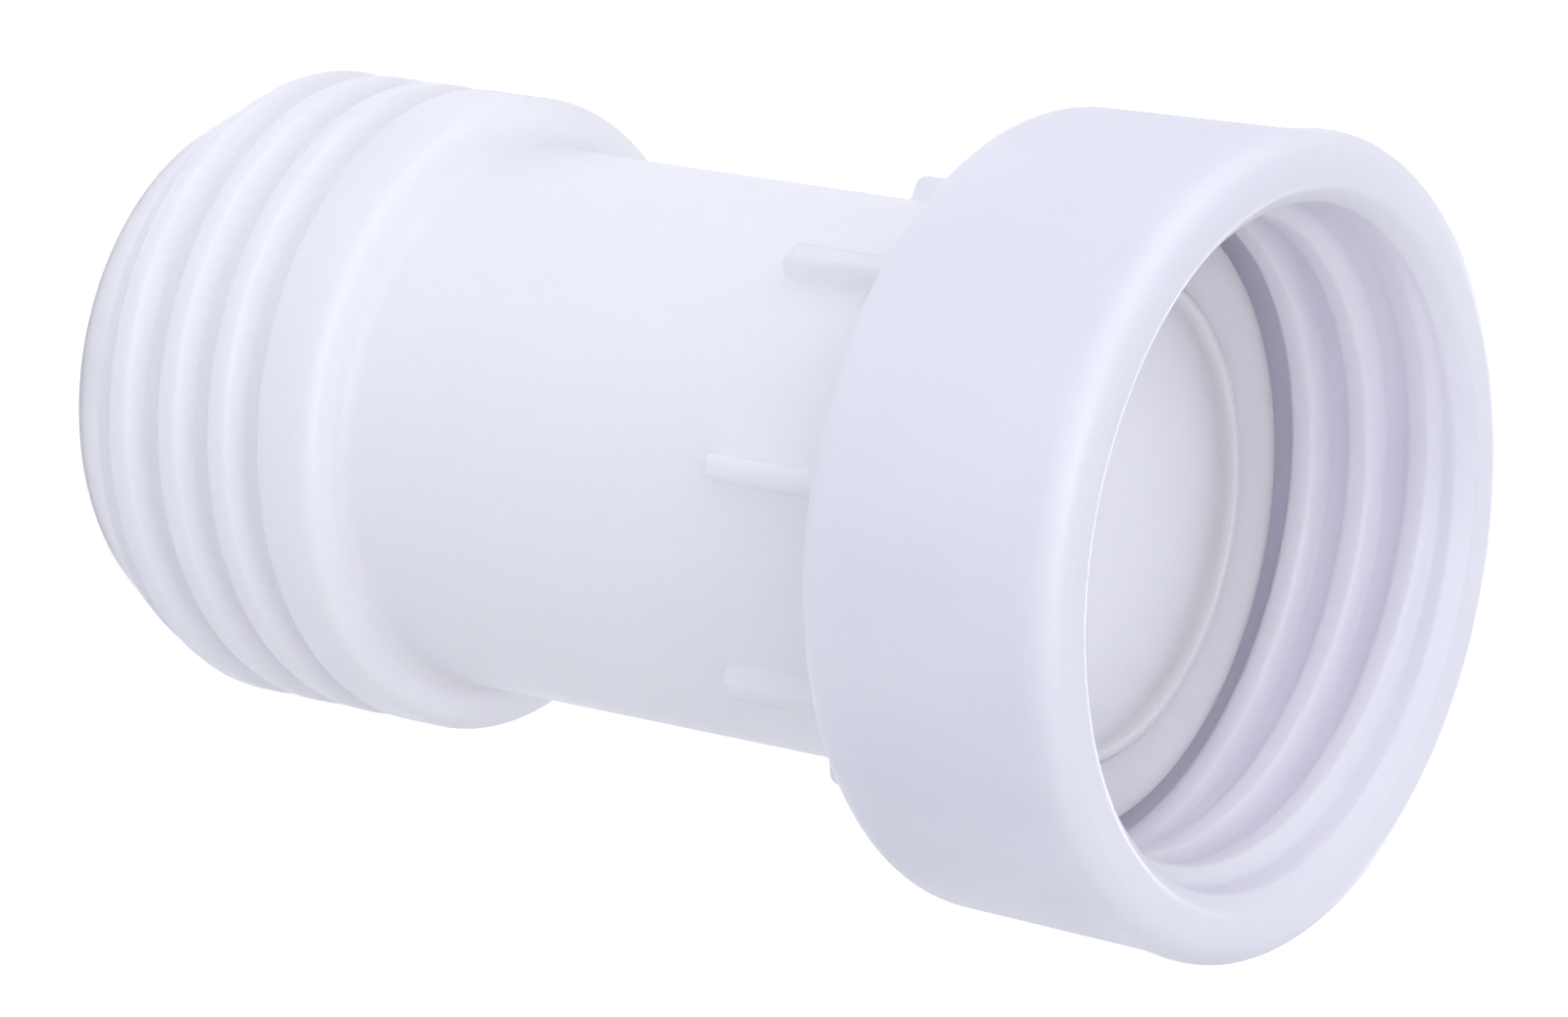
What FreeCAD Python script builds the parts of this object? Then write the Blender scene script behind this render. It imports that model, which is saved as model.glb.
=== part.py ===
"""Threaded union coupling: a moulded pipe body with a captive swivel nut and a flat seal.

The body stands on its male end at z = 0 and its axis is +Z. The nut's open mouth is at the top.
All lengths are in millimetres.
"""
import FreeCAD, Part
import math
import os

from FreeCAD import Vector

# ---- the coarse thread that both ends share -------------------------------------------------
PITCH = 6.0
MALE_CREST_R = 30.0          # half of the nominal 60 mm thread diameter
THREAD_DEPTH = 1.8
CREST_WIDTH = 1.8            # flat on top of a ridge, measured along the axis
FLANK_ANGLE = 30.0           # slope of each flank from the plane square to the axis, in degrees
THREAD_CLEARANCE = 0.35      # radial gap between a mating male and female thread
RIDGE_ROOT_SINK = 0.4        # how far a ridge reaches into the wall that carries it
RIDGE_TRIM = 0.4             # extra height of a ridge that its envelope then trims off
TRIM_TURNS = 2               # how far the trimming tools reach past a threaded part, in pitches

# ---- body: male end --------------------------------------------------------------------------
MALE_WALL = 7.0              # wall between the bore and the thread root
END_FACE_WIDTH = 4.0         # flat ring round the bore that a seal bears on
LEAD_IN_LENGTH = 8.2         # cone from the end face up to the full crest
MALE_RIDGE_START_ANGLE = 271.0
MALE_RIDGE_START_Z = -3.15   # middle of the ridge's first end, which the lead-in cone trims away
THREAD_LENGTH = 26.6         # end face to the start of the plain collar
COLLAR_LENGTH = 5.9
COLLAR_EDGE_R = 1.2          # rounding of the collar's outer edge
SHOULDER_FILLET_R = 1.6      # hollow rounding where the collar drops to the barrel

# ---- body: barrel, ribs and flange -----------------------------------------------------------
BARREL_WALL = 4.3
BARREL_LENGTH = 58.0         # collar to the back of the nut
RIB_COUNT = 8
RIB_FIRST_ANGLE = 3.0
RIB_WIDTH = 2.2
RIB_HEIGHT = 2.3
RIB_VISIBLE_LENGTH = 16.5    # rib length that shows behind the nut
RIB_NOSE_R = 1.4             # rounding of the rib's free corner
FLANGE_THICKNESS = 2.6
FLANGE_OVERLAP = 1.3         # how far the flange reaches past the nut's neck hole
FLANGE_EDGE_R = 0.5
LIP_WIDTH = 1.0              # raised lip round the bore, which centres the washer
LIP_PROUD = 0.3              # lip height above the washer's face
LIP_EDGE_R = 0.3

# ---- sealing washer --------------------------------------------------------------------------
WASHER_THICKNESS = 2.0
WASHER_BORE_GAP = 0.2        # radial gap round the lip
WASHER_SET_BACK = 0.1        # washer edge inside the flange edge and inside the nut's ridge crest
WASHER_EDGE_R = 0.3

# ---- swivel nut ------------------------------------------------------------------------------
NECK_CLEARANCE = 0.3         # radial gap between the rib tips and the nut's neck hole
AXIAL_PLAY = 0.3             # gap between the nut's back wall and the flange
FLANGE_SIDE_GAP = 0.9        # least radial gap between the flange and the nut round it
NUT_BACK_WALL = 3.2
NUT_LENGTH = 27.3
NUT_WALL = 5.6               # wall round the widest part of the chamber, at the back
NUT_DRAFT = 0.4              # extra radius that the outside gains towards the mouth
NUT_BEAD = 0.3               # extra radius of the swollen rim at the mouth
NUT_BEAD_LENGTH = 5.0
NUT_BACK_EDGE_R = 2.6
NUT_MOUTH_EDGE_R = 1.4
NUT_NECK_EDGE_R = 0.6
MOUTH_CHAMFER = 0.85         # lead-in round the inside of the mouth
NUT_RIDGE_START_ANGLE = 90.0
NUT_RIDGE_START_GAP = 2.37   # washer face to the middle of the ridge's first end
NUT_RIDGE_TURNS = 2.25

SAME_POINT = 1e-7            # outline corners nearer than this share no edge

# ---- sizes that follow from the ones above ---------------------------------------------------
MALE_ROOT_R = MALE_CREST_R - THREAD_DEPTH
FEMALE_CREST_R = MALE_ROOT_R + THREAD_CLEARANCE
FEMALE_ROOT_R = MALE_CREST_R + THREAD_CLEARANCE
BORE_R = MALE_ROOT_R - MALE_WALL
END_FACE_R = BORE_R + END_FACE_WIDTH
TRIM_REACH = TRIM_TURNS * PITCH
BARREL_R = BORE_R + BARREL_WALL
RIB_TIP_R = BARREL_R + RIB_HEIGHT
NECK_HOLE_R = RIB_TIP_R + NECK_CLEARANCE
FLANGE_R = NECK_HOLE_R + FLANGE_OVERLAP
LIP_R = BORE_R + LIP_WIDTH
WASHER_BORE_R = LIP_R + WASHER_BORE_GAP
WASHER_R = min(FLANGE_R, FEMALE_CREST_R) - WASHER_SET_BACK
CHAMBER_R = max(FEMALE_ROOT_R, FLANGE_R + FLANGE_SIDE_GAP)
NUT_BACK_R = CHAMBER_R + NUT_WALL
NUT_SIDE_R = NUT_BACK_R + NUT_DRAFT
NUT_MOUTH_R = NUT_SIDE_R + NUT_BEAD

COLLAR_TOP_Z = THREAD_LENGTH + COLLAR_LENGTH
NUT_BACK_Z = COLLAR_TOP_Z + BARREL_LENGTH
NUT_MOUTH_Z = NUT_BACK_Z + NUT_LENGTH
RIB_START_Z = NUT_BACK_Z - RIB_VISIBLE_LENGTH
FLANGE_Z = NUT_BACK_Z + NUT_BACK_WALL + AXIAL_PLAY
SEAL_SEAT_Z = FLANGE_Z + FLANGE_THICKNESS
WASHER_TOP_Z = SEAL_SEAT_Z + WASHER_THICKNESS
LIP_TOP_Z = WASHER_TOP_Z + LIP_PROUD


def revolved(edges):
    """Turn a closed outline in the X-Z half plane round the Z axis."""
    outline = Part.Face(Part.Wire(edges))
    return outline.revolve(Vector(0, 0, 0), Vector(0, 0, 1), 360)


def outline(corners):
    """Edges of a closed outline from (radius, height, rounding) corners.

    A rounding above zero replaces the corner with an arc tangent to both sides. Two corners that
    fall on one point share no edge.
    """
    count = len(corners)
    starts = []
    ends = []
    arcs = []
    for i, (radius, height, rounding) in enumerate(corners):
        corner = Vector(radius, 0, height)
        if rounding == 0:
            starts.append(corner)
            ends.append(corner)
            arcs.append(None)
            continue
        before = Vector(corners[i - 1][0], 0, corners[i - 1][1])
        after = Vector(corners[(i + 1) % count][0], 0, corners[(i + 1) % count][1])
        to_before = (before - corner).normalize()
        to_after = (after - corner).normalize()
        half_angle = to_before.getAngle(to_after) / 2
        reach = rounding / math.tan(half_angle)
        first = corner + to_before * reach
        last = corner + to_after * reach
        bisector = (to_before + to_after).normalize()
        middle = corner + bisector * (rounding / math.sin(half_angle) - rounding)
        starts.append(first)
        ends.append(last)
        arcs.append(Part.Arc(first, middle, last).toShape())
    edges = []
    for i in range(count):
        if arcs[i] is not None:
            edges.append(arcs[i])
        following = starts[(i + 1) % count]
        if not ends[i].isEqual(following, SAME_POINT):
            edges.append(Part.LineSegment(ends[i], following).toShape())
    return edges


def helical_ridge(base_r, crest_r, start_z, start_angle, turns):
    """One trapezoid ridge wound right-handed, from its wall at base_r to its crest at crest_r.

    It stands RIDGE_TRIM higher than its crest, on flanks that run straight on.
    """
    outward = 1 if crest_r > base_r else -1
    sunk_r = base_r - outward * RIDGE_ROOT_SINK
    top_r = crest_r + outward * RIDGE_TRIM
    slope = math.tan(math.radians(FLANK_ANGLE))
    half_top = CREST_WIDTH / 2 - RIDGE_TRIM * slope
    half_base = CREST_WIDTH / 2 + abs(crest_r - sunk_r) * slope
    points = [
        Vector(sunk_r, 0, -half_base),
        Vector(top_r, 0, -half_top),
        Vector(top_r, 0, half_top),
        Vector(sunk_r, 0, half_base),
    ]
    section = Part.makePolygon(points + [points[0]])
    path = Part.Wire(Part.makeHelix(PITCH, PITCH * turns, base_r))
    ridge = path.makePipeShell([section], True, True)
    ridge.rotate(Vector(0, 0, 0), Vector(0, 0, 1), start_angle)
    ridge.translate(Vector(0, 0, start_z))
    return ridge


def outside_of(radius, bottom_z, top_z):
    """Everything beyond a radius, between two heights."""
    far_r = 2 * radius
    return revolved(outline([
        (radius, bottom_z, 0),
        (far_r, bottom_z, 0),
        (far_r, top_z, 0),
        (radius, top_z, 0),
    ]))


def outside_of_lead_in():
    """Everything beyond the lead-in cone, which runs on past both of its ends."""
    cone_slope = (MALE_CREST_R - END_FACE_R) / LEAD_IN_LENGTH
    bottom_z = -TRIM_REACH
    top_z = LEAD_IN_LENGTH + THREAD_DEPTH
    far_r = 2 * MALE_CREST_R
    return revolved(outline([
        (END_FACE_R + bottom_z * cone_slope, bottom_z, 0),
        (far_r, bottom_z, 0),
        (far_r, top_z, 0),
        (END_FACE_R + top_z * cone_slope, top_z, 0),
    ]))


def make_threaded_end():
    """Male threaded tube from the end face to the collar, trimmed by its lead-in cone."""
    bottom_z = -TRIM_REACH
    top_z = THREAD_LENGTH + TRIM_REACH
    turns = (THREAD_LENGTH + PITCH / 2 - MALE_RIDGE_START_Z) / PITCH
    ridge = helical_ridge(MALE_ROOT_R, MALE_CREST_R, MALE_RIDGE_START_Z, MALE_RIDGE_START_ANGLE, turns)
    tube = outside_of(BORE_R, bottom_z, top_z).cut(outside_of(MALE_ROOT_R, bottom_z, top_z))
    threaded = tube.fuse(ridge)
    threaded = threaded.cut(outside_of(MALE_CREST_R, bottom_z, top_z))
    threaded = threaded.cut(outside_of_lead_in())
    above = Part.makeCylinder(2 * MALE_CREST_R, top_z, Vector(0, 0, THREAD_LENGTH))
    below = Part.makeCylinder(2 * MALE_CREST_R, -bottom_z, Vector(0, 0, bottom_z))
    return threaded.cut(above).cut(below)


def make_barrel():
    """Plain part of the body: collar, shoulder, barrel, flange and raised lip."""
    return revolved(outline([
        (BORE_R, THREAD_LENGTH, 0),
        (MALE_CREST_R, THREAD_LENGTH, 0),
        (MALE_CREST_R, COLLAR_TOP_Z, COLLAR_EDGE_R),
        (BARREL_R, COLLAR_TOP_Z, SHOULDER_FILLET_R),
        (BARREL_R, FLANGE_Z, 0),
        (FLANGE_R, FLANGE_Z, 0),
        (FLANGE_R, SEAL_SEAT_Z, FLANGE_EDGE_R),
        (LIP_R, SEAL_SEAT_Z, 0),
        (LIP_R, LIP_TOP_Z, LIP_EDGE_R),
        (BORE_R, LIP_TOP_Z, 0),
    ]))


def rib():
    """One guide rib on the barrel, pointing along +X, with a rounded free corner."""
    root_r = BARREL_R - RIDGE_ROOT_SINK
    side = Part.Face(Part.Wire(outline([
        (root_r, RIB_START_Z, 0),
        (root_r, FLANGE_Z, 0),
        (RIB_TIP_R, FLANGE_Z, 0),
        (RIB_TIP_R, RIB_START_Z, RIB_NOSE_R),
    ])))
    side.translate(Vector(0, -RIB_WIDTH / 2, 0))
    return side.extrude(Vector(0, RIB_WIDTH, 0))


def make_coupling_body():
    """Pipe body: male thread, collar, barrel with guide ribs, flange and raised lip."""
    body = make_barrel()
    for index in range(RIB_COUNT):
        one = rib()
        one.rotate(Vector(0, 0, 0), Vector(0, 0, 1), RIB_FIRST_ANGLE + index * 360 / RIB_COUNT)
        body = body.fuse(one)
    return body.fuse(make_threaded_end())


def make_swivel_nut():
    """Captive nut: neck hole on the rib tips, chamber round the flange, threaded socket."""
    mouth_edge_z = NUT_MOUTH_Z - MOUTH_CHAMFER
    shell = revolved(outline([
        (NECK_HOLE_R, NUT_BACK_Z, NUT_NECK_EDGE_R),
        (NUT_BACK_R, NUT_BACK_Z, NUT_BACK_EDGE_R),
        (NUT_SIDE_R, NUT_MOUTH_Z - NUT_BEAD_LENGTH, 0),
        (NUT_MOUTH_R, NUT_MOUTH_Z - NUT_BEAD_LENGTH / 2, 0),
        (NUT_MOUTH_R, NUT_MOUTH_Z, NUT_MOUTH_EDGE_R),
        (FEMALE_ROOT_R + MOUTH_CHAMFER, NUT_MOUTH_Z, 0),
        (FEMALE_ROOT_R, mouth_edge_z, 0),
        (FEMALE_ROOT_R, WASHER_TOP_Z, 0),
        (CHAMBER_R, WASHER_TOP_Z, 0),
        (CHAMBER_R, NUT_BACK_Z + NUT_BACK_WALL, 0),
        (NECK_HOLE_R, NUT_BACK_Z + NUT_BACK_WALL, 0),
    ]))
    ridge_z = WASHER_TOP_Z + NUT_RIDGE_START_GAP
    ridge = helical_ridge(FEMALE_ROOT_R, FEMALE_CREST_R, ridge_z, NUT_RIDGE_START_ANGLE, NUT_RIDGE_TURNS)
    ridge = ridge.cut(Part.makeCylinder(2 * NUT_MOUTH_R, TRIM_REACH, Vector(0, 0, mouth_edge_z)))
    return shell.fuse(ridge).cut(Part.makeCylinder(FEMALE_CREST_R, NUT_MOUTH_Z))


def make_sealing_washer():
    """Flat soft ring that lies on the flange round the raised lip."""
    return revolved(outline([
        (WASHER_BORE_R, SEAL_SEAT_Z, 0),
        (WASHER_R, SEAL_SEAT_Z, 0),
        (WASHER_R, WASHER_TOP_Z, WASHER_EDGE_R),
        (WASHER_BORE_R, WASHER_TOP_Z, WASHER_EDGE_R),
    ]))


def single_solid(shape):
    """The one solid that a boolean result holds."""
    if len(shape.Solids) != 1:
        raise ValueError("expected one solid, found %d" % len(shape.Solids))
    return shape.Solids[0]


def main():
    """Write one STEP file per sub-part."""
    os.makedirs("parts", exist_ok=True)
    parts = {
        "coupling_body": make_coupling_body(),
        "swivel_nut": make_swivel_nut(),
        "sealing_washer": make_sealing_washer(),
    }
    for name, shape in parts.items():
        solid = single_solid(shape)
        box = solid.optimalBoundingBox(True, False)
        print(name, "valid", solid.isValid(), "closed", solid.isClosed(), "volume", round(solid.Volume),
              "z", round(box.ZMin, 2), round(box.ZMax, 2), "r", round(box.XMax, 2))
        solid.exportStep("parts/%s.step" % name)


main()
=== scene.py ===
"""Threaded union coupling in natural polypropylene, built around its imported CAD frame.

Three moulded pieces are made here: the coupling body with its male thread and guide ribs, the
captive swivel nut with its female thread, and the flat sealing washer. Each one is a closed skin
turned round the bore's axis, with softly rounded edges and real thread ridges in its mesh.
Sizes are in millimetres until a mesh is written, which is in metres.
"""
import logging
import math
from dataclasses import dataclass
from enum import Enum
from typing import Callable, Optional

import bpy
from mathutils import Matrix, Vector


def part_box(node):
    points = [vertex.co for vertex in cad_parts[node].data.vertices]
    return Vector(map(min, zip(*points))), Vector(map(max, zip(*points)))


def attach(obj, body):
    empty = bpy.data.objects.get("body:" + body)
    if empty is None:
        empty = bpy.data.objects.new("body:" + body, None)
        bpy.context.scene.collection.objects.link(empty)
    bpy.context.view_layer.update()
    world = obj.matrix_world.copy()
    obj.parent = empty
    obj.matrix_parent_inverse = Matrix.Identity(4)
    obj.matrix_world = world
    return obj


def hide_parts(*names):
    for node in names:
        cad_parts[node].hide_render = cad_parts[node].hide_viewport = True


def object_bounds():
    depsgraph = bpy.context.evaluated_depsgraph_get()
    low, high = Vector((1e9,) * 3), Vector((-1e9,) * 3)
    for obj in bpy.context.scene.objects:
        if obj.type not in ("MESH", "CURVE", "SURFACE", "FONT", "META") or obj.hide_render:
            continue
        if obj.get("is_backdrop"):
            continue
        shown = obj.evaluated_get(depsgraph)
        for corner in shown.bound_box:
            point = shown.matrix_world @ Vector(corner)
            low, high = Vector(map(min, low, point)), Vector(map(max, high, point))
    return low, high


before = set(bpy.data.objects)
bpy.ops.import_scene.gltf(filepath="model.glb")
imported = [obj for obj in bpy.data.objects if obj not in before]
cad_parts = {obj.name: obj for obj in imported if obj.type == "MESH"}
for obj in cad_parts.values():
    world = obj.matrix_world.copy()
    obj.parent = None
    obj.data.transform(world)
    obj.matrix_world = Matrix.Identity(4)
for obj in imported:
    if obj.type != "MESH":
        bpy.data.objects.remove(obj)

MM = 0.001
FULL_TURN = 360.0
WHITE = "FFFFFF"
MIX_A = 6           # first colour input of a colour Mix node
MIX_B = 7           # its second colour input
MIX_RESULT = 2      # its colour output

log = logging.getLogger("coupling")


# ---- small tools ------------------------------------------------------------------------------

def linear(code: str) -> tuple[float, float, float, float]:
    """Turn an sRGB hex colour into the linear colour that shaders take.

    Args:
        code: Six hex digits, such as "E4E5F2".

    Returns:
        Red, green, blue and an alpha of 1.
    """
    channels = [int(code[i:i + 2], 16) / 255 for i in (0, 2, 4)]
    light = [c / 12.92 if c <= 0.04045 else ((c + 0.055) / 1.055) ** 2.4 for c in channels]
    return (light[0], light[1], light[2], 1.0)


def smooth(share: float) -> float:
    """Ease a share from 0 to 1 with flat ends.

    Args:
        share: Any number; below 0 counts as 0 and above 1 as 1.

    Returns:
        The eased share, from 0 to 1.
    """
    held = min(1.0, max(0.0, share))
    return held * held * (3 - 2 * held)


def add_node(tree: bpy.types.NodeTree, kind: str, inputs: Optional[dict] = None,
             **settings) -> bpy.types.Node:
    """Add one node with its settings and links.

    Args:
        tree: The material's or world's node tree.
        kind: The node's type name, such as "ShaderNodeBump".
        inputs: Socket name or index to a plain value, or to the output socket to link from.
        **settings: The node's own properties.

    Returns:
        The new node.
    """
    node = tree.nodes.new(kind)
    for name, value in settings.items():
        setattr(node, name, value)
    for socket, value in (inputs or {}).items():
        if isinstance(value, bpy.types.NodeSocket):
            tree.links.new(value, node.inputs[socket])
        else:
            node.inputs[socket].default_value = value
    return node


def new_material(name: str) -> tuple[bpy.types.Material, bpy.types.NodeTree]:
    """Start an empty node material.

    Args:
        name: The material's name.

    Returns:
        The material and its node tree.
    """
    material = bpy.data.materials.new(name)
    material.use_nodes = True
    material.node_tree.nodes.clear()
    return material, material.node_tree


# ---- finishes ---------------------------------------------------------------------------------

@dataclass(frozen=True)
class MouldedPlastic:
    """Natural, unpigmented plastic or rubber as it leaves a satin mould.

    The eye gets a milky white with a cold cast, soft light that seeps round every edge, wide dull
    highlights, a faint cloudiness from the melt's flow, and a fine satin grain.

    Attributes:
        name: The material's name.
        colour: Main colour, sRGB hex.
        cloud_colour: Colour of the slightly denser clouds in the melt, sRGB hex.
        speck_colour: Colour of the rare burnt specks, sRGB hex.
        cloud_size: Width of one cloud, mm.
        flow_stretch: How much longer a cloud is along the bore than across it.
        grain_size: Width of one satin grain, mm.
        grain_depth: Depth of the grain, mm.
        speck_spacing: Width of the cells that may hold one speck, mm.
        speck_size: Radius of a speck, mm.
        roughness: Mean roughness of the satin surface.
        roughness_spread: How far the clouds move the roughness.
        seep: Share of light that travels inside the wall.
        seep_depth: Mean depth that light travels, mm.
        ior: Refractive index.
    """

    CLOUD_START = 0.35      # noise level at which the clear melt begins to cloud
    CLOUD_FULL = 0.65       # noise level at which it is all cloud
    SMOOTH_LEVEL = 0.3      # noise level of the smoothest surface
    DULL_LEVEL = 0.7        # noise level of the dullest surface
    SPECK_SHARE = 0.45      # share of the cells that may hold a speck
    SEEP_REACH = (1.0, 0.98, 1.08)      # how far red, green and blue go, against the mean depth

    name: str
    colour: str
    cloud_colour: str
    speck_colour: str = "6E6A78"
    cloud_size: float = 14.0
    flow_stretch: float = 2.5
    grain_size: float = 0.45
    grain_depth: float = 0.012
    speck_spacing: float = 13.0
    speck_size: float = 0.16
    roughness: float = 0.42
    roughness_spread: float = 0.08
    seep: float = 1.0
    seep_depth: float = 7.0
    ior: float = 1.49

    def make(self) -> bpy.types.Material:
        """Build the node material.

        Returns:
            The finished material.
        """
        material, tree = new_material(self.name)
        place = add_node(tree, "ShaderNodeTexCoord").outputs["Object"]
        stretched = add_node(
            tree, "ShaderNodeMapping", {"Vector": place, "Scale": (1, 1, 1 / self.flow_stretch)})
        clouds = add_node(
            tree, "ShaderNodeTexNoise",
            {"Vector": stretched.outputs["Vector"], "Scale": 1 / (self.cloud_size * MM), "Detail": 3.0,
             "Roughness": 0.55})
        cloud_share = add_node(
            tree, "ShaderNodeMapRange",
            {"Value": clouds.outputs["Fac"], "From Min": self.CLOUD_START, "From Max": self.CLOUD_FULL},
            clamp=True)
        milk = add_node(
            tree, "ShaderNodeMix",
            {"Factor": cloud_share.outputs["Result"], MIX_A: linear(self.colour),
             MIX_B: linear(self.cloud_colour)},
            data_type="RGBA")
        specks = self._specks(tree, place)
        surface_colour = add_node(
            tree, "ShaderNodeMix",
            {"Factor": specks, MIX_A: milk.outputs[MIX_RESULT], MIX_B: linear(self.speck_colour)},
            data_type="RGBA")
        dullness = add_node(
            tree, "ShaderNodeMapRange",
            {"Value": clouds.outputs["Fac"], "From Min": self.SMOOTH_LEVEL, "From Max": self.DULL_LEVEL,
             "To Min": self.roughness - self.roughness_spread,
             "To Max": self.roughness + self.roughness_spread},
            clamp=True)
        grain = add_node(
            tree, "ShaderNodeTexNoise",
            {"Vector": place, "Scale": 1 / (self.grain_size * MM), "Detail": 2.0, "Roughness": 0.5})
        relief = add_node(
            tree, "ShaderNodeBump",
            {"Height": grain.outputs["Fac"], "Strength": 1.0, "Distance": self.grain_depth * MM})
        shader = add_node(
            tree, "ShaderNodeBsdfPrincipled",
            {"Base Color": surface_colour.outputs[MIX_RESULT], "Roughness": dullness.outputs["Result"],
             "Normal": relief.outputs["Normal"], "IOR": self.ior, "Subsurface Weight": self.seep,
             "Subsurface Radius": self.SEEP_REACH, "Subsurface Scale": self.seep_depth * MM})
        add_node(tree, "ShaderNodeOutputMaterial", {"Surface": shader.outputs["BSDF"]})
        return material

    def _specks(self, tree: bpy.types.NodeTree, place: bpy.types.NodeSocket) -> bpy.types.NodeSocket:
        """Scatter rare dark specks, the small burnt grains that natural plastic shows.

        Args:
            tree: The material's node tree.
            place: The coordinate to scatter by.

        Returns:
            A factor that is 1 inside a speck.
        """
        cells = add_node(
            tree, "ShaderNodeTexVoronoi", {"Vector": place, "Scale": 1 / (self.speck_spacing * MM)})
        near = add_node(
            tree, "ShaderNodeMath",
            {0: cells.outputs["Distance"], 1: self.speck_size / self.speck_spacing}, operation="LESS_THAN")
        pick = add_node(tree, "ShaderNodeSeparateColor", {"Color": cells.outputs["Color"]})
        chosen = add_node(
            tree, "ShaderNodeMath", {0: pick.outputs[0], 1: self.SPECK_SHARE}, operation="LESS_THAN")
        both = add_node(
            tree, "ShaderNodeMath", {0: near.outputs[0], 1: chosen.outputs[0]}, operation="MULTIPLY")
        return both.outputs[0]


# Natural polypropylene, satin moulded, a cold milky white that light seeps through; painted lighter than
# the nut to lift its shaded bore.
BODY_PLASTIC = MouldedPlastic(
    name="natural polypropylene, satin moulded, body", colour="FBF9FD", cloud_colour="F8F6FB",
    seep_depth=4.5)

# The same polypropylene in the nut, with wider clouds in the melt; a shade greyer as painted shade on its
# well-lit outside.
NUT_PLASTIC = MouldedPlastic(
    name="natural polypropylene, satin moulded, nut", colour="F0EFF4", cloud_colour="EDECF2",
    cloud_size=18.0, seep_depth=4.5)

# Silicone rubber, compression moulded: matt and faintly pink beside the plastic, with no flow lines.
WASHER_RUBBER = MouldedPlastic(
    name="translucent silicone rubber, moulded, washer", colour="FBEDF6", cloud_colour="F7E9F3",
    cloud_size=9.0, flow_stretch=1.0, grain_size=0.3, roughness=0.6, roughness_spread=0.05,
    seep_depth=4.0, ior=1.41)


# ---- turned skins -----------------------------------------------------------------------------

class Surface(Enum):
    """Which face of a piece a stretch of its section belongs to."""

    PLAIN = "plain"
    MALE_THREAD = "male thread"
    FEMALE_THREAD = "female thread"
    RIBBED = "ribbed"


@dataclass(frozen=True)
class Corner:
    """One corner of a section, and the stretch that runs from it to the next corner.

    Attributes:
        radius: Distance from the bore's axis, mm.
        height: Place along the axis, mm.
        rounding: Radius of the rounded corner, mm, or 0 for none.
        surface: What the stretch after the corner is.
        step: Longest spacing of points on that stretch, mm.
    """

    radius: float
    height: float
    rounding: float = 0.0
    surface: Surface = Surface.PLAIN
    step: float = 6.0


@dataclass(frozen=True)
class SectionPoint:
    """One point of a sampled section.

    Attributes:
        radius: Distance from the bore's axis, mm.
        height: Place along the axis, mm.
        surface: Which face of the piece it lies on.
    """

    radius: float
    height: float
    surface: Surface


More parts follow.
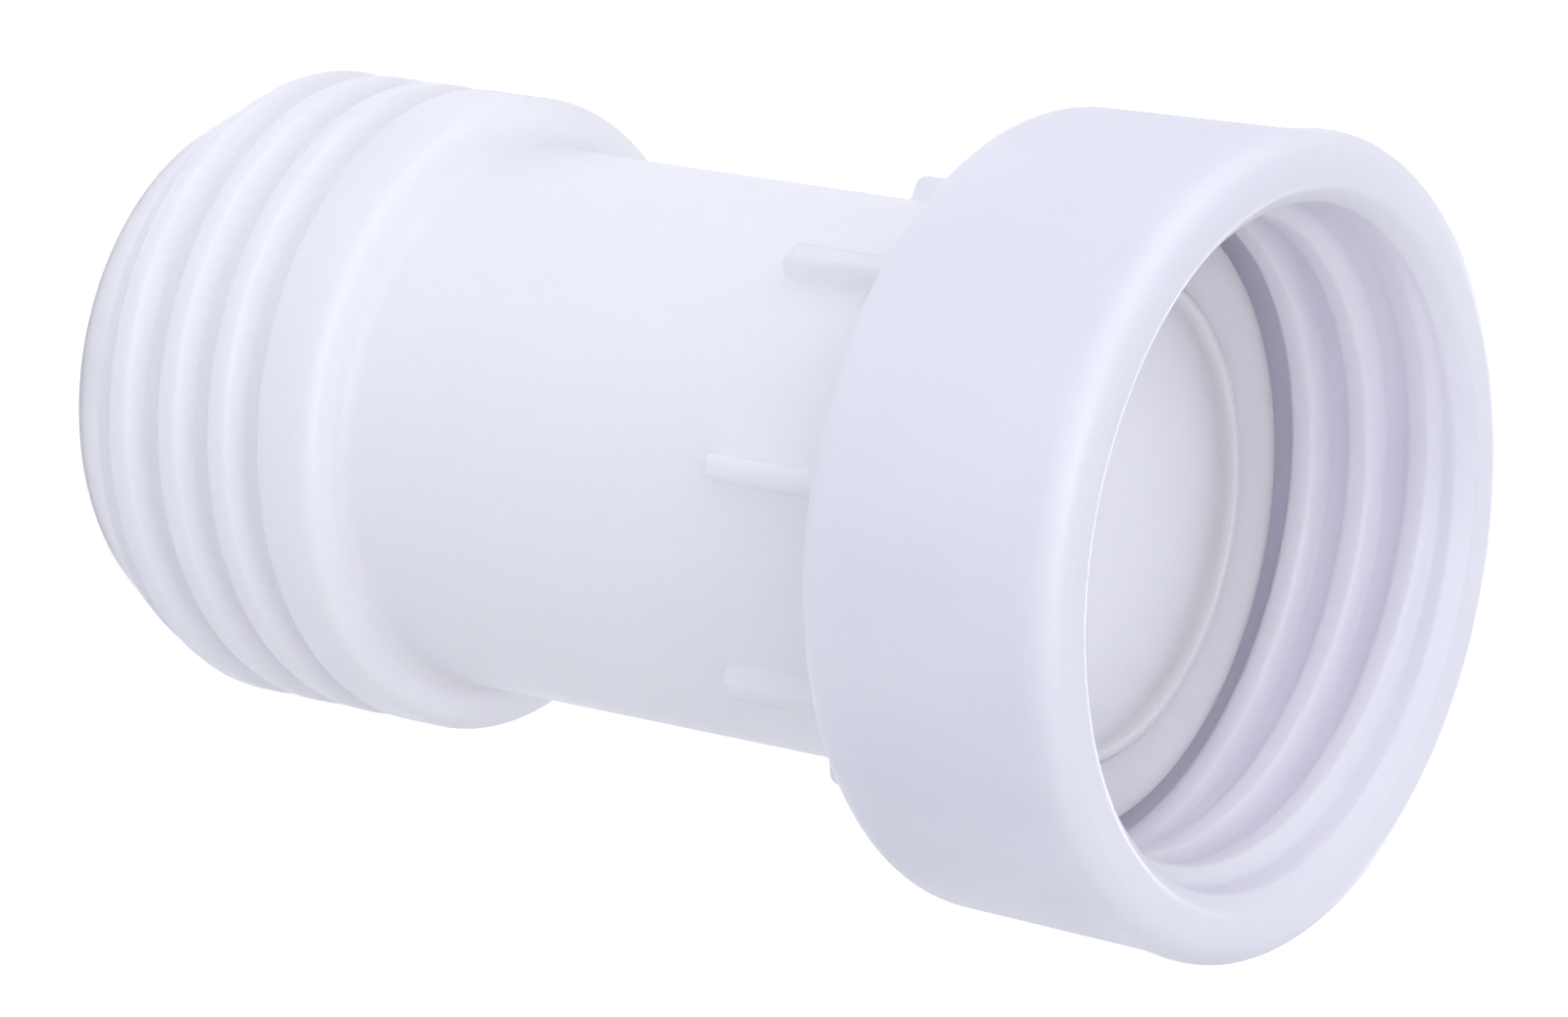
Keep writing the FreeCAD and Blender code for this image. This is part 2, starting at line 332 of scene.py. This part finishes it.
class TurnedSkin:
    """A closed skin: a section with rounded corners, turned round the bore's axis."""

    ARC_SEGMENTS = 6        # straight pieces in one rounded corner
    EDGE_SUPPORT = 0.25     # spacing of the points that hold a flat straight beside a rounding, mm
    SHORT_STRETCH = 3 * EDGE_SUPPORT    # a stretch shorter than this gets no inner points, mm

    def __init__(self, corners: list[Corner]) -> None:
        """Keep the closed section's corners.

        Args:
            corners: The corners in order, up the outside and down the inside; the last joins the first.
        """
        self.corners = corners

    def sampled(self) -> list[SectionPoint]:
        """Sample the section: arcs at the corners, and spaced points on the stretches.

        Returns:
            The section's points, in order, the last joining the first.
        """
        rounded = [self._arc(index) for index in range(len(self.corners))]
        points: list[SectionPoint] = []
        for index, corner in enumerate(self.corners):
            arc = rounded[index]
            points += [SectionPoint(p.x, p.y, Surface.PLAIN) for p in arc[:-1]]
            start = arc[-1]
            end = rounded[(index + 1) % len(rounded)][0]
            points += [
                SectionPoint(start.x + (end.x - start.x) * share, start.y + (end.y - start.y) * share,
                             corner.surface)
                for share in self._shares((end - start).length, corner.step)]
        return points

    def _shares(self, length: float, step: float) -> list[float]:
        """Places along a stretch, as shares of its length, with the far end left out.

        Args:
            length: The stretch's length, mm.
            step: Longest spacing, mm.

        Returns:
            Shares from 0 up.
        """
        if length < self.SHORT_STRETCH:
            return [0.0]
        count = max(1, math.ceil(length / step))
        support = self.EDGE_SUPPORT / length
        inner = [i / count for i in range(1, count)]
        return [0.0] + ([support] + inner + [1 - support] if step > self.EDGE_SUPPORT else inner)

    def _arc(self, index: int) -> list[Vector]:
        """Points of one rounded corner, or the corner alone.

        Args:
            index: Which corner.

        Returns:
            Points as (radius, height), along the section.
        """
        corner = self.corners[index]
        tip = Vector((corner.radius, corner.height))
        if corner.rounding == 0:
            return [tip]
        before = self.corners[index - 1]
        after = self.corners[(index + 1) % len(self.corners)]
        to_before = (Vector((before.radius, before.height)) - tip).normalized()
        to_after = (Vector((after.radius, after.height)) - tip).normalized()
        half = to_before.angle(to_after) / 2
        reach = corner.rounding / math.tan(half)
        middle = tip + (to_before + to_after).normalized() * (corner.rounding / math.sin(half))
        first = tip + to_before * reach - middle
        last = tip + to_after * reach - middle
        sweep = first.angle_signed(last)
        points = []
        for i in range(self.ARC_SEGMENTS + 1):
            turn = -sweep * i / self.ARC_SEGMENTS
            turned = Vector((first.x * math.cos(turn) - first.y * math.sin(turn),
                             first.x * math.sin(turn) + first.y * math.cos(turn)))
            points.append(middle + turned)
        return points

    def mesh(self, name: str, angles: list[float],
             shape: Callable[[SectionPoint, float], float]) -> bpy.types.Object:
        """Turn the section into a closed mesh.

        Args:
            name: The piece's name.
            angles: The columns' angles, degrees, in order.
            shape: Gives the radius, mm, of a section point at an angle.

        Returns:
            The new object, linked to the scene.
        """
        points = self.sampled()
        rows = len(points)
        columns = len(angles)
        vertices = []
        for angle in angles:
            across = math.cos(math.radians(angle))
            along = math.sin(math.radians(angle))
            for point in points:
                radius = shape(point, angle) * MM
                vertices.append((radius * across, radius * along, point.height * MM))
        faces = []
        for column in range(columns):
            this = column * rows
            following = (column + 1) % columns * rows
            for row in range(rows):
                up = (row + 1) % rows
                faces.append((this + row, following + row, following + up, this + up))
        data = bpy.data.meshes.new(name)
        data.from_pydata(vertices, [], faces)
        data.polygons.foreach_set("use_smooth", [True] * len(faces))
        data.update()
        piece = bpy.data.objects.new(name, data)
        bpy.context.scene.collection.objects.link(piece)
        return piece


@dataclass(frozen=True)
class CoarseThread:
    """One right-handed trapezoid ridge with rounded edges.

    Attributes:
        start_angle: Angle of the ridge's first end, degrees.
        start_height: Height of the ridge's middle there, mm.
        turns: How many turns it runs.
        fade_turns: Share of a turn over which each end sinks into its wall.
        pitch: Rise in one turn, mm.
        depth: Ridge height over the root, mm.
        crest_width: Flat on top, along the axis, mm.
        flank_angle: Slope of a flank from the plane square to the axis, degrees.
        softness: 0 for sharp edges, 1 for a fully rounded wave.
    """

    start_angle: float
    start_height: float
    turns: float
    fade_turns: float
    pitch: float = 6.0
    depth: float = 1.8
    crest_width: float = 1.8
    flank_angle: float = 30.0
    softness: float = 1.0

    def height_at(self, angle: float, height: float) -> float:
        """Ridge height over the root at one place.

        Args:
            angle: Degrees round the axis.
            height: Place along the axis, mm.

        Returns:
            Height of the ridge there, mm, from 0 to the depth.
        """
        turned = (angle - self.start_angle) / FULL_TURN
        risen = (height - self.start_height) / self.pitch
        turn = turned + round(risen - turned)
        off_middle = abs(risen - turn) * self.pitch
        flank = self.depth * math.tan(math.radians(self.flank_angle))
        climb = min(1.0, max(0.0, (self.crest_width / 2 + flank - off_middle) / flank))
        edge = self.softness * smooth(climb) + (1 - self.softness) * climb
        fade = smooth(turn / self.fade_turns) * smooth((self.turns - turn) / self.fade_turns)
        return self.depth * edge * fade


@dataclass(frozen=True)
class GuideRibs:
    """Straight ribs along the barrel, evenly spaced, with rounded free ends.

    Attributes:
        start: Height of the ribs' free ends, mm.
        count: How many.
        first_angle: Angle of the first, degrees.
        width: Width of a rib, mm.
        height: How far a rib stands over the barrel, mm.
        nose: Rounding of the free end's outer corner, mm.
        edge: Width over which a rib's side falls away, mm.
    """

    SIDE_SHARES = (-0.5, -0.3, -0.1, 0.1, 0.3, 0.5, 0.9)    # columns across a rib's side, in edges
    CREST_COLUMN = 0.5      # place of the columns beside a rib's middle, mm
    CLEAR_REACH = 1.1       # even columns begin at this many times the reach of the fine ones
    ANGLE_DIGITS = 5        # decimals kept of a column's angle, degrees

    start: float
    count: int = 8
    first_angle: float = 3.0
    width: float = 2.2
    height: float = 2.3
    nose: float = 1.4
    edge: float = 0.42

    def height_at(self, angle: float, height: float, radius: float) -> float:
        """Rib height over the barrel at one place.

        Args:
            angle: Degrees round the axis.
            height: Place along the axis, mm.
            radius: The barrel's radius, mm.

        Returns:
            Height of the rib there, mm.
        """
        spacing = FULL_TURN / self.count
        off = (angle - self.first_angle + spacing / 2) % spacing - spacing / 2
        aside = abs(math.radians(off)) * radius
        across = 1 - smooth((aside - self.width / 2 + self.edge / 2) / self.edge)
        into = height - self.start
        if into <= -self.edge / 2:
            return 0.0
        foot = smooth(into / self.edge + 0.5)
        round_off = max(0.0, self.nose - max(0.0, into))
        nose = self.height - self.nose + math.sqrt(max(0.0, self.nose ** 2 - round_off ** 2))
        return across * foot * nose

    def columns(self, base_count: int, radius: float) -> list[float]:
        """Angles of a skin's columns, closer together across each rib.

        Args:
            base_count: Number of even columns between the ribs.
            radius: The barrel's radius, mm.

        Returns:
            Sorted angles, degrees.
        """
        spacing = FULL_TURN / self.count
        side = self.width / 2
        offsets = [0.0, self.CREST_COLUMN]
        offsets += [side + self.edge * share for share in self.SIDE_SHARES]
        fine = [math.degrees(sign * off / radius) for off in offsets for sign in (1, -1)]
        reach = max(fine)
        angles = set()
        for rib in range(self.count):
            middle = self.first_angle + rib * spacing
            angles |= {round((middle + off) % FULL_TURN, self.ANGLE_DIGITS) for off in fine}
        for column in range(base_count):
            angle = column * FULL_TURN / base_count
            off = abs((angle - self.first_angle + spacing / 2) % spacing - spacing / 2)
            if off > reach * self.CLEAR_REACH:
                angles.add(round(angle, self.ANGLE_DIGITS))
        return sorted(angles)


def even_columns(count: int) -> list[float]:
    """Space columns evenly round the axis.

    Args:
        count: How many.

    Returns:
        Their angles, degrees.
    """
    return [FULL_TURN * i / count for i in range(count)]


# ---- the three pieces -------------------------------------------------------------------------

@dataclass
class Seat:
    """A CAD node's place: its box in mm, which the pieces take their places from.

    Attributes:
        low: Lowest height, mm.
        high: Highest height, mm.
        radius: Largest radius, mm.
    """

    low: float
    high: float
    radius: float

    @classmethod
    def of(cls, node: str) -> "Seat":
        """Read a node's box from the frame.

        Args:
            node: The CAD node's name.

        Returns:
            Its seat.
        """
        low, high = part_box(node)
        return cls(low.z / MM, high.z / MM, high.x / MM)


@dataclass
class CouplingBody:
    """Male threaded end, collar, ribbed barrel, flange and the raised lip round the bore.

    Every measure is in mm, and heights run along the bore.

    Attributes:
        seat: The body's own place.
        nut: The nut's place, which the ribs' free ends are measured from.
        washer: The washer's place, whose foot is the flange's top.
        bore_radius: Radius of the through bore.
        end_face_radius: Outer edge of the male end face, where the lead-in begins.
        end_face_edge: Rounding of that edge.
        lead_in_length: Length of the lead-in cone.
        thread_length: Length of the thread, with its lead-in.
        thread_run_out: Half the length over which the groove runs out into the collar.
        thread_start_angle: Angle of the ridge's first end, degrees.
        thread_start_height: Height of the ridge's middle there, below the end face.
        thread_turns: Turns of the ridge, enough to pass both ends of the thread.
        thread_fade_turns: Turns over which the ridge's hidden ends sink away.
        collar_length: Length of the plain collar.
        collar_edge: Rounding of the collar's outer edge.
        shoulder_fillet: Rounding between shoulder and barrel.
        barrel_radius: Outside of the plain barrel.
        rib_length: Length of rib that shows behind the nut.
        rib_margin: Where fine points begin, ahead of the ribs' free ends.
        nose_margin: Where fine points end, beyond the ribs' rounded noses.
        flange_radius: Outer edge of the flange.
        flange_thickness: Thickness of the flange.
        flange_edge: Rounding of the flange's upper edge.
        lip_width: Width of the raised lip round the bore.
        lip_edge: Rounding of the lip's outer edge and of the flange's lower edge.
        bore_edge: Rounding of the bore's two edges.
        thread_step: Spacing of points along the thread.
        collar_step: Spacing of points along the collar.
        barrel_step: Spacing of points along the barrel.
        nose_step: Spacing of points along the ribs' free ends.
        rib_step: Spacing of points along the ribs.
        column_count: Number of even columns round the axis.
        finish: The material.
    """

    seat: Seat
    nut: Seat
    washer: Seat
    bore_radius: float = 21.2
    end_face_radius: float = 25.2
    end_face_edge: float = 0.5
    lead_in_length: float = 8.2
    thread_length: float = 26.6
    thread_run_out: float = 0.7
    thread_start_angle: float = 271.0
    thread_start_height: float = -3.15
    thread_turns: float = 99.0
    thread_fade_turns: float = 0.01
    collar_length: float = 5.9
    collar_edge: float = 1.2
    shoulder_fillet: float = 1.6
    barrel_radius: float = 25.5
    rib_length: float = 16.5
    rib_margin: float = 1.0
    nose_margin: float = 0.6
    flange_radius: float = 29.4
    flange_thickness: float = 2.6
    flange_edge: float = 0.5
    lip_width: float = 1.0
    lip_edge: float = 0.3
    bore_edge: float = 0.3
    thread_step: float = 0.25
    collar_step: float = 1.5
    barrel_step: float = 4.0
    nose_step: float = 0.12
    rib_step: float = 3.0
    column_count: int = 216
    finish: MouldedPlastic = BODY_PLASTIC

    def build(self) -> bpy.types.Object:
        """Make the body's skin.

        Returns:
            The body's piece.
        """
        ribs = GuideRibs(start=self.nut.low - self.rib_length)
        thread = CoarseThread(
            start_angle=self.thread_start_angle, start_height=self.thread_start_height,
            turns=self.thread_turns, fade_turns=self.thread_fade_turns)
        thread_end = self.seat.low + self.thread_length
        collar_top = thread_end + self.collar_length
        flange_top = self.washer.low
        flange_bottom = flange_top - self.flange_thickness
        crest = self.seat.radius
        rib_zone = ribs.start - self.rib_margin
        nose_end = ribs.start + ribs.nose + self.nose_margin
        corners = [
            Corner(self.bore_radius, self.seat.low, self.bore_edge),
            Corner(self.end_face_radius, self.seat.low, self.end_face_edge, Surface.MALE_THREAD,
                   self.thread_step),
            Corner(crest, self.seat.low + self.lead_in_length, 0.0, Surface.MALE_THREAD, self.thread_step),
            Corner(crest, thread_end + self.thread_run_out, 0.0, Surface.PLAIN, self.collar_step),
            Corner(crest, collar_top, self.collar_edge),
            Corner(self.barrel_radius, collar_top, self.shoulder_fillet, Surface.PLAIN, self.barrel_step),
            Corner(self.barrel_radius, rib_zone, 0.0, Surface.RIBBED, self.nose_step),
            Corner(self.barrel_radius, nose_end, 0.0, Surface.RIBBED, self.rib_step),
            Corner(self.barrel_radius, flange_bottom),
            Corner(self.flange_radius, flange_bottom, self.lip_edge),
            Corner(self.flange_radius, flange_top, self.flange_edge),
            Corner(self.bore_radius + self.lip_width, flange_top),
            Corner(self.bore_radius + self.lip_width, self.seat.high, self.lip_edge),
            Corner(self.bore_radius, self.seat.high, self.bore_edge),
        ]

        def shape(point: SectionPoint, angle: float) -> float:
            """Raise the ribs and the thread's ridge from the section.

            Args:
                point: A point of the section.
                angle: Degrees round the axis.

            Returns:
                The skin's radius there, mm.
            """
            if point.surface is Surface.RIBBED:
                return point.radius + ribs.height_at(angle, point.height, point.radius)
            if point.surface is Surface.MALE_THREAD:
                root = crest - thread.depth
                groove = min(point.radius, root + thread.height_at(angle, point.height))
                run_out = smooth((point.height - thread_end + self.thread_run_out)
                                 / (2 * self.thread_run_out))
                return groove + (point.radius - groove) * run_out
            return point.radius

        columns = ribs.columns(self.column_count, self.barrel_radius)
        piece = TurnedSkin(corners).mesh("coupling_body_skin", columns, shape)
        piece.data.materials.append(self.finish.make())
        return piece


@dataclass
class SwivelNut:
    """Captive nut: neck hole, chamber, female thread, drafted outside and a swollen rim.

    Every measure is in mm, and heights run along the bore.

    Attributes:
        seat: The nut's own place.
        washer: The washer's place, which the thread starts over.
        neck_radius: Radius of the hole that the ribbed barrel passes through.
        neck_edge: Rounding of the hole's outer edge, and twice that of its inner one.
        back_wall: Thickness of the back wall.
        back_radius: Outside of the nut at its back.
        back_edge: Rounding of the back's outer edge.
        bead: How far the rim stands over the side.
        bead_length: Length of the swollen rim.
        mouth_edge: Rounding of the rim's outer edge.
        root_radius: Root of the thread, and wall of the chamber.
        mouth_chamfer: Chamfer between the rim's face and the thread's root.
        mouth_inner_edge: Rounding where the rim's face meets the chamfer.
        chamber_edge: Rounding between the chamber and the back wall.
        thread_start_gap: Height over the washer at which the ridge is first full.
        thread_start_angle: Angle of that place, degrees.
        thread_turns: Turns of the ridge from that place on.
        run_out_turns: Turns over which either end of the ridge fades away.
        thread_step: Spacing of points along the thread.
        side_step: Spacing of points along the drafted side.
        column_count: Number of columns round the axis.
        finish: The material.
    """

    seat: Seat
    washer: Seat
    neck_radius: float = 28.1
    neck_edge: float = 0.6
    back_wall: float = 3.2
    back_radius: float = 35.95
    back_edge: float = 2.6
    bead: float = 0.3
    bead_length: float = 5.0
    mouth_edge: float = 1.9
    root_radius: float = 30.35
    mouth_chamfer: float = 1.5
    mouth_inner_edge: float = 1.1
    chamber_edge: float = 0.4
    thread_start_gap: float = 2.37
    thread_start_angle: float = 90.0
    thread_turns: float = 2.25
    run_out_turns: float = 0.3
    thread_step: float = 0.25
    side_step: float = 4.0
    column_count: int = 288
    finish: MouldedPlastic = NUT_PLASTIC

    def build(self) -> bpy.types.Object:
        """Make the nut's skin.

        Returns:
            The nut's piece.
        """
        pitch = CoarseThread.pitch
        thread = CoarseThread(
            start_angle=self.thread_start_angle - FULL_TURN * self.run_out_turns,
            start_height=self.washer.high + self.thread_start_gap - pitch * self.run_out_turns,
            turns=self.thread_turns + self.run_out_turns, fade_turns=self.run_out_turns)
        mouth = self.seat.high
        corners = [
            Corner(self.neck_radius, self.seat.low, self.neck_edge),
            Corner(self.back_radius, self.seat.low, self.back_edge, Surface.PLAIN, self.side_step),
            Corner(self.seat.radius - self.bead, mouth - self.bead_length),
            Corner(self.seat.radius, mouth - self.bead_length / 2),
            Corner(self.seat.radius, mouth, self.mouth_edge),
            Corner(self.root_radius + self.mouth_chamfer, mouth, self.mouth_inner_edge),
            Corner(self.root_radius, mouth - self.mouth_chamfer, 0.0, Surface.FEMALE_THREAD,
                   self.thread_step),
            Corner(self.root_radius, self.washer.high, 0.0),
            Corner(self.root_radius, self.seat.low + self.back_wall, self.chamber_edge),
            Corner(self.neck_radius, self.seat.low + self.back_wall, self.neck_edge / 2),
        ]

        def shape(point: SectionPoint, angle: float) -> float:
            """Raise the thread's ridge inward from the root.

            Args:
                point: A point of the section.
                angle: Degrees round the axis.

            Returns:
                The skin's radius there, mm.
            """
            if point.surface is Surface.FEMALE_THREAD:
                return point.radius - thread.height_at(angle, point.height)
            return point.radius

        piece = TurnedSkin(corners).mesh("swivel_nut_skin", even_columns(self.column_count), shape)
        piece.data.materials.append(self.finish.make())
        return piece


@dataclass
class SealingWasher:
    """Flat soft ring on the flange, with rounded upper edges.

    Attributes:
        seat: The washer's own place.
        bore_radius: Inner edge, clear of the body's raised lip, mm.
        edge: Rounding of the two upper edges, mm.
        column_count: Number of columns round the axis.
        finish: The material.
    """

    seat: Seat
    bore_radius: float = 22.4
    edge: float = 0.3
    column_count: int = 216
    finish: MouldedPlastic = WASHER_RUBBER

    def build(self) -> bpy.types.Object:
        """Make the washer's skin.

        Returns:
            The washer's piece.
        """
        corners = [
            Corner(self.bore_radius, self.seat.low),
            Corner(self.seat.radius, self.seat.low),
            Corner(self.seat.radius, self.seat.high, self.edge),
            Corner(self.bore_radius, self.seat.high, self.edge),
        ]
        columns = even_columns(self.column_count)
        piece = TurnedSkin(corners).mesh("sealing_washer_skin", columns, lambda point, _: point.radius)
        piece.data.materials.append(self.finish.make())
        return piece


# ---- studio -----------------------------------------------------------------------------------

@dataclass(frozen=True)
class SoftBox:
    """A square diffused lamp.

    Attributes:
        name: The lamp's name.
        place: Where it hangs, m.
        size: Side of the square, m.
        power: Watts.
        colour: sRGB hex.
        spread: Width of the beam, degrees; 180 is a bare diffuser, less is one with a grid.
    """

    name: str
    place: tuple[float, float, float]
    size: float
    power: float
    colour: str = "F2F4FF"
    spread: float = 180.0

    def hang(self, aim: Vector) -> None:
        """Add the lamp to the scene.

        Args:
            aim: The point it faces, m.
        """
        data = bpy.data.lights.new(self.name, "AREA")
        data.shape = "SQUARE"
        data.size = self.size
        data.energy = self.power
        data.spread = math.radians(self.spread)
        data.color = linear(self.colour)[:3]
        lamp = bpy.data.objects.new(self.name, data)
        direction = aim - Vector(self.place)
        lamp.rotation_euler = direction.to_track_quat("-Z", "Y").to_euler()
        lamp.location = self.place
        lamp.visible_camera = False
        bpy.context.scene.collection.objects.link(lamp)


# Soft lamps round the object, aimed at its middle. The camera lies on its side, so -X is up in its view.
ROOM_LAMPS = (
    SoftBox("key softbox", place=(-0.95, -0.25, 0.35), size=0.9, power=3.0),      # from above
    SoftBox("fill softbox", place=(0.9, 0.05, 0.3), size=1.0, power=0.4),         # from below
    SoftBox("front softbox", place=(-0.05, -0.5, 0.8), size=0.6, power=2.4),      # before the mouth
    SoftBox("low softbox", place=(-0.1, -0.7, 0.17), size=0.3, power=0.3),        # beside the barrel
    SoftBox("overhead softbox", place=(0.08, -0.2, 0.95), size=0.4, power=0.5),   # down into the nut
    SoftBox("back softbox", place=(0.0, 0.8, 0.13), size=0.24, power=1.7),        # behind the barrel
)

# Small gridded lamp inside the male end, aimed up the bore, which keeps the bore nearly as light as
# the outside.
BORE_LAMP = SoftBox("bore lamp", place=(0.0, 0.0, 0.002), size=0.03, power=0.007, spread=50.0)


@dataclass
class Studio:
    """Plain pale floor, even room light, soft lamps and the camera.

    Attributes:
        room_level: Strength of the light from all round.
        room_colour: Its colour, sRGB hex.
        floor_size: Side of the floor, m.
        floor_gap: How far the floor lies under the object, mm.
        floor_colour: Colour of the light that the floor sends back, sRGB hex.
        floor_lift: Glow that only the eye, a gloss or a clear wall sees on the floor.
        lens: Focal length, mm.
        sensor_width: Width of the camera's sensor, mm.
        camera_place: Where the camera stands, m.
        camera_aim: The point in the middle of its view, m.
        camera_roll: Turn about the line of sight, degrees.
    """

    room_level: float = 0.49
    room_colour: str = "F2F4FF"
    floor_size: float = 12.0
    floor_gap: float = 0.05
    floor_colour: str = "F2F2F4"
    floor_lift: float = 0.57
    lens: float = 149.8
    sensor_width: float = 36.0
    camera_place: tuple[float, float, float] = (0.0, -0.48859, 0.40436)
    camera_aim: tuple[float, float, float] = (0.00407, 0.0, 0.06444)
    camera_roll: float = -9.99

    def build(self) -> None:
        """Set up everything round the object."""
        self._room()
        self._floor()
        self._lamps()
        self._camera()
        bpy.context.scene.view_settings.view_transform = "Standard"

    def _seen_by_eye(self, tree: bpy.types.NodeTree) -> bpy.types.NodeSocket:
        """A factor that is 1 for rays that an eye, a gloss or a clear wall sends out.

        Args:
            tree: The node tree to add it to.

        Returns:
            The factor's socket.
        """
        path = add_node(tree, "ShaderNodeLightPath")
        gloss = add_node(
            tree, "ShaderNodeMath",
            {0: path.outputs["Is Camera Ray"], 1: path.outputs["Is Glossy Ray"]}, operation="MAXIMUM")
        clear = add_node(
            tree, "ShaderNodeMath",
            {0: gloss.outputs[0], 1: path.outputs["Is Transmission Ray"]}, operation="MAXIMUM")
        return clear.outputs[0]

    def _room(self) -> None:
        """Even light from all round, and a white room behind the floor's edge."""
        world = bpy.data.worlds.new("white room")
        bpy.context.scene.world = world
        world.use_nodes = True
        tree = world.node_tree
        tree.nodes.clear()
        light = add_node(
            tree, "ShaderNodeBackground", {"Color": linear(self.room_colour), "Strength": self.room_level})
        white = add_node(tree, "ShaderNodeBackground", {"Color": linear(WHITE), "Strength": 1.0})
        both = add_node(
            tree, "ShaderNodeMixShader",
            {0: self._seen_by_eye(tree), 1: light.outputs[0], 2: white.outputs[0]})
        add_node(tree, "ShaderNodeOutputWorld", {"Surface": both.outputs[0]})

    def _floor(self) -> None:
        """Matt white floor at the object's foot, which shows white and keeps the shadow."""
        low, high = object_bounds()
        half = self.floor_size / 2
        height = low.z - self.floor_gap * MM
        data = bpy.data.meshes.new("floor")
        corners = [(x * half, y * half, height) for x, y in ((-1, -1), (1, -1), (1, 1), (-1, 1))]
        data.from_pydata(corners, [], [(0, 1, 2, 3)])
        floor = bpy.data.objects.new("floor", data)
        bpy.context.scene.collection.objects.link(floor)
        material, tree = new_material("matt white card, floor")
        card = add_node(tree, "ShaderNodeBsdfDiffuse", {"Color": linear(self.floor_colour)})
        lift = add_node(
            tree, "ShaderNodeMath", {0: self._seen_by_eye(tree), 1: self.floor_lift}, operation="MULTIPLY")
        glow = add_node(
            tree, "ShaderNodeEmission", {"Color": linear(WHITE), "Strength": lift.outputs[0]})
        both = add_node(tree, "ShaderNodeAddShader", {0: card.outputs[0], 1: glow.outputs[0]})
        add_node(tree, "ShaderNodeOutputMaterial", {"Surface": both.outputs[0]})
        data.materials.append(material)
        floor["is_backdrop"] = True

    def _lamps(self) -> None:
        """Hang the soft lamps round the object, and the small one in its bore."""
        low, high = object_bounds()
        middle = (low + high) / 2
        for lamp in ROOM_LAMPS:
            lamp.hang(middle)
        BORE_LAMP.hang(Vector((0.0, 0.0, high.z)))

    def _camera(self) -> None:
        """A long lens at the viewing angle, lying on its side so that the bore runs across."""
        data = bpy.data.cameras.new("camera")
        data.lens = self.lens
        data.sensor_width = self.sensor_width
        camera = bpy.data.objects.new("camera", data)
        place = Vector(self.camera_place)
        forward = (Vector(self.camera_aim) - place).normalized()
        level_up = Vector((-1, 0, 0))
        up = (level_up - forward * level_up.dot(forward)).normalized()
        up = Matrix.Rotation(math.radians(self.camera_roll), 3, forward) @ up
        right = forward.cross(up)
        turn = Matrix((right, up, -forward)).transposed()
        camera.matrix_world = Matrix.Translation(place) @ turn.to_4x4()
        bpy.context.scene.collection.objects.link(camera)
        bpy.context.scene.camera = camera


# ---- putting it together ----------------------------------------------------------------------

def seat_piece(piece: bpy.types.Object, node: str, body: str) -> None:
    """Let a piece stand for a CAD node and ride on its body.

    Args:
        piece: The visual piece.
        node: The CAD node that it replaces.
        body: The CAD body that it rides on.
    """
    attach(piece, body)
    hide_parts(node)
    log.info("%s: %d faces, rides on %s", piece.name, len(piece.data.polygons), body)


def main() -> None:
    """Build the pieces and the studio in order."""
    logging.basicConfig(level=logging.INFO, format="%(name)s: %(message)s")
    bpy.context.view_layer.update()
    body_seat = Seat.of("coupling_body")
    nut_seat = Seat.of("swivel_nut")
    washer_seat = Seat.of("sealing_washer")
    body = CouplingBody(body_seat, nut_seat, washer_seat).build()
    seat_piece(body, "coupling_body", "body")
    washer = SealingWasher(washer_seat).build()
    seat_piece(washer, "sealing_washer", "body")
    nut = SwivelNut(nut_seat, washer_seat).build()
    seat_piece(nut, "swivel_nut", "nut")
    Studio().build()


if __name__ == "__main__":
    main()
